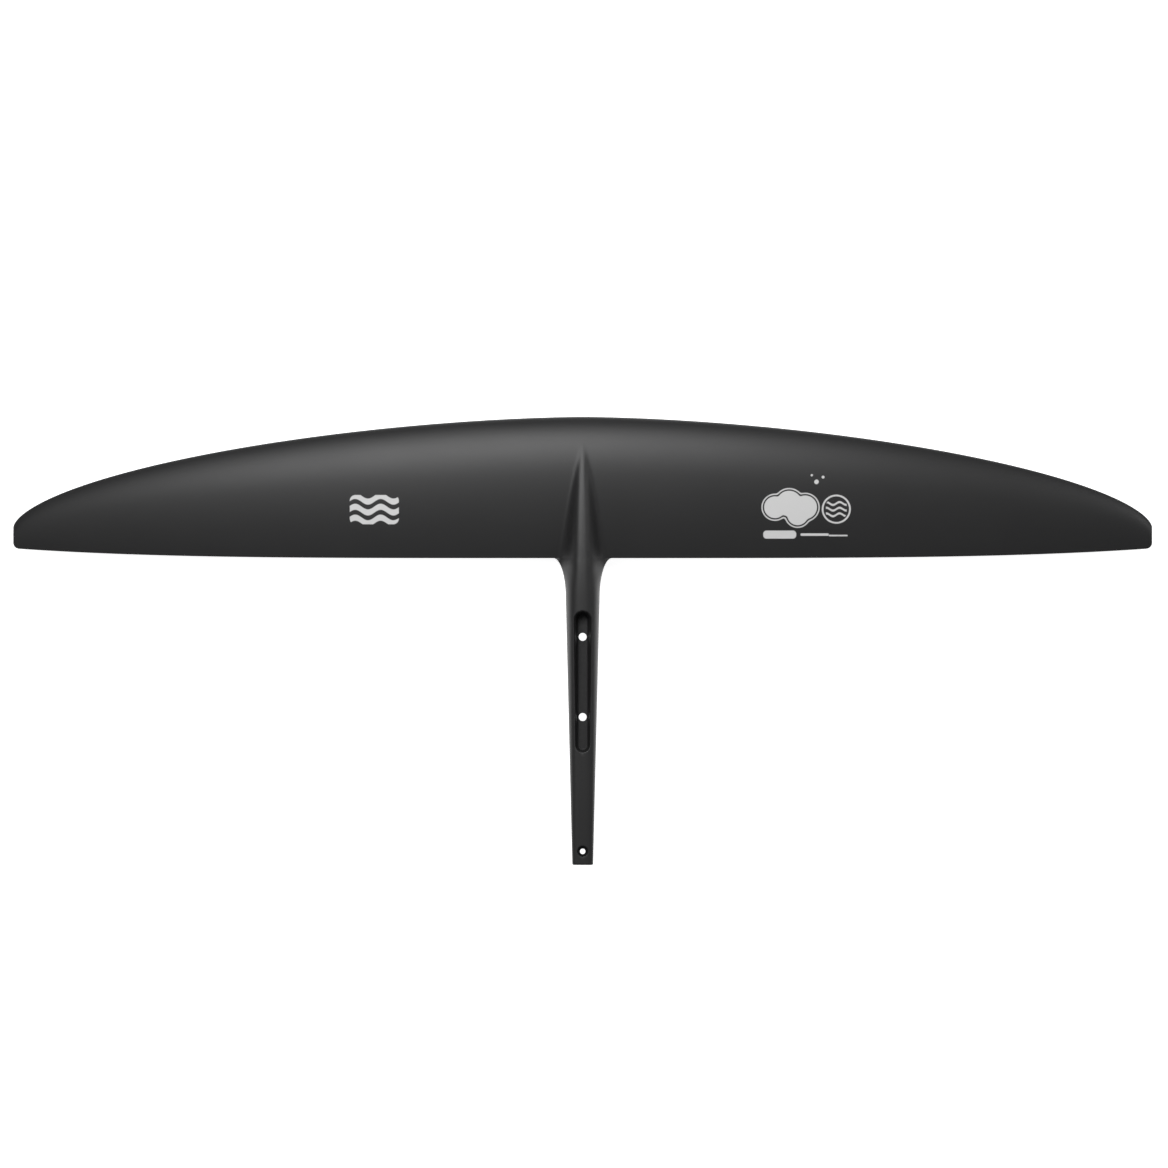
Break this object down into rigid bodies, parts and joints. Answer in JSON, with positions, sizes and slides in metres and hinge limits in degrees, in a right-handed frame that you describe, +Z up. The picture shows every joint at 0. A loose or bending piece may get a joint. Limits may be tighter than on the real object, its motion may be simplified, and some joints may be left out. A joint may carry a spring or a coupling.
{
  "type": "hydrofoil front wing with fuselage",
  "caption": "High-aspect-ratio carbon hydrofoil front wing with a one-piece tapering fuselage, a bolted mast socket and a seat for a stabiliser at the tail",
  "frame": {"origin": "on the floor of the mast socket, half way between the two mast bolts", "axes": "+X to starboard along the span, +Y forward towards the leading edge, +Z up out of the mast socket"},
  "size_m": [1.208, 0.4755, 0.0604],
  "materials": {
    "carbon_skin": "moulded carbon laminate under a satin black clear coat",
    "unidirectional_carbon": "cured unidirectional carbon, dull",
    "moulded_carbon": "compression-moulded carbon, matt black",
    "core_foam": "closed-cell structural foam",
    "stainless_steel": "turned stainless steel"
  },
  "bodies": {
    "root": {"aft_core_port": "core_foam", "aft_core_starboard": "core_foam", "centre_block": "moulded_carbon", "forward_core_port": "core_foam", "forward_core_starboard": "core_foam", "keel_block": "moulded_carbon", "leading_edge_strip_port": "unidirectional_carbon", "leading_edge_strip_starboard": "unidirectional_carbon", "lower_shell": "carbon_skin", "lower_spar_cap": "unidirectional_carbon", "mast_bolt_sleeve_front": "stainless_steel", "mast_bolt_sleeve_rear": "stainless_steel", "mast_socket_liner": "moulded_carbon", "socket_side_rail_port": "unidirectional_carbon", "socket_side_rail_starboard": "unidirectional_carbon", "spar_web_port": "unidirectional_carbon", "spar_web_starboard": "unidirectional_carbon", "stabiliser_bolt_sleeve": "stainless_steel", "tail_block": "moulded_carbon", "tail_core": "core_foam", "tip_block_port": "core_foam", "tip_block_starboard": "core_foam", "trailing_edge_strip_port": "unidirectional_carbon", "trailing_edge_strip_starboard": "unidirectional_carbon", "upper_shell": "carbon_skin", "upper_spar_cap": "unidirectional_carbon"}
  },
  "joints": []
}
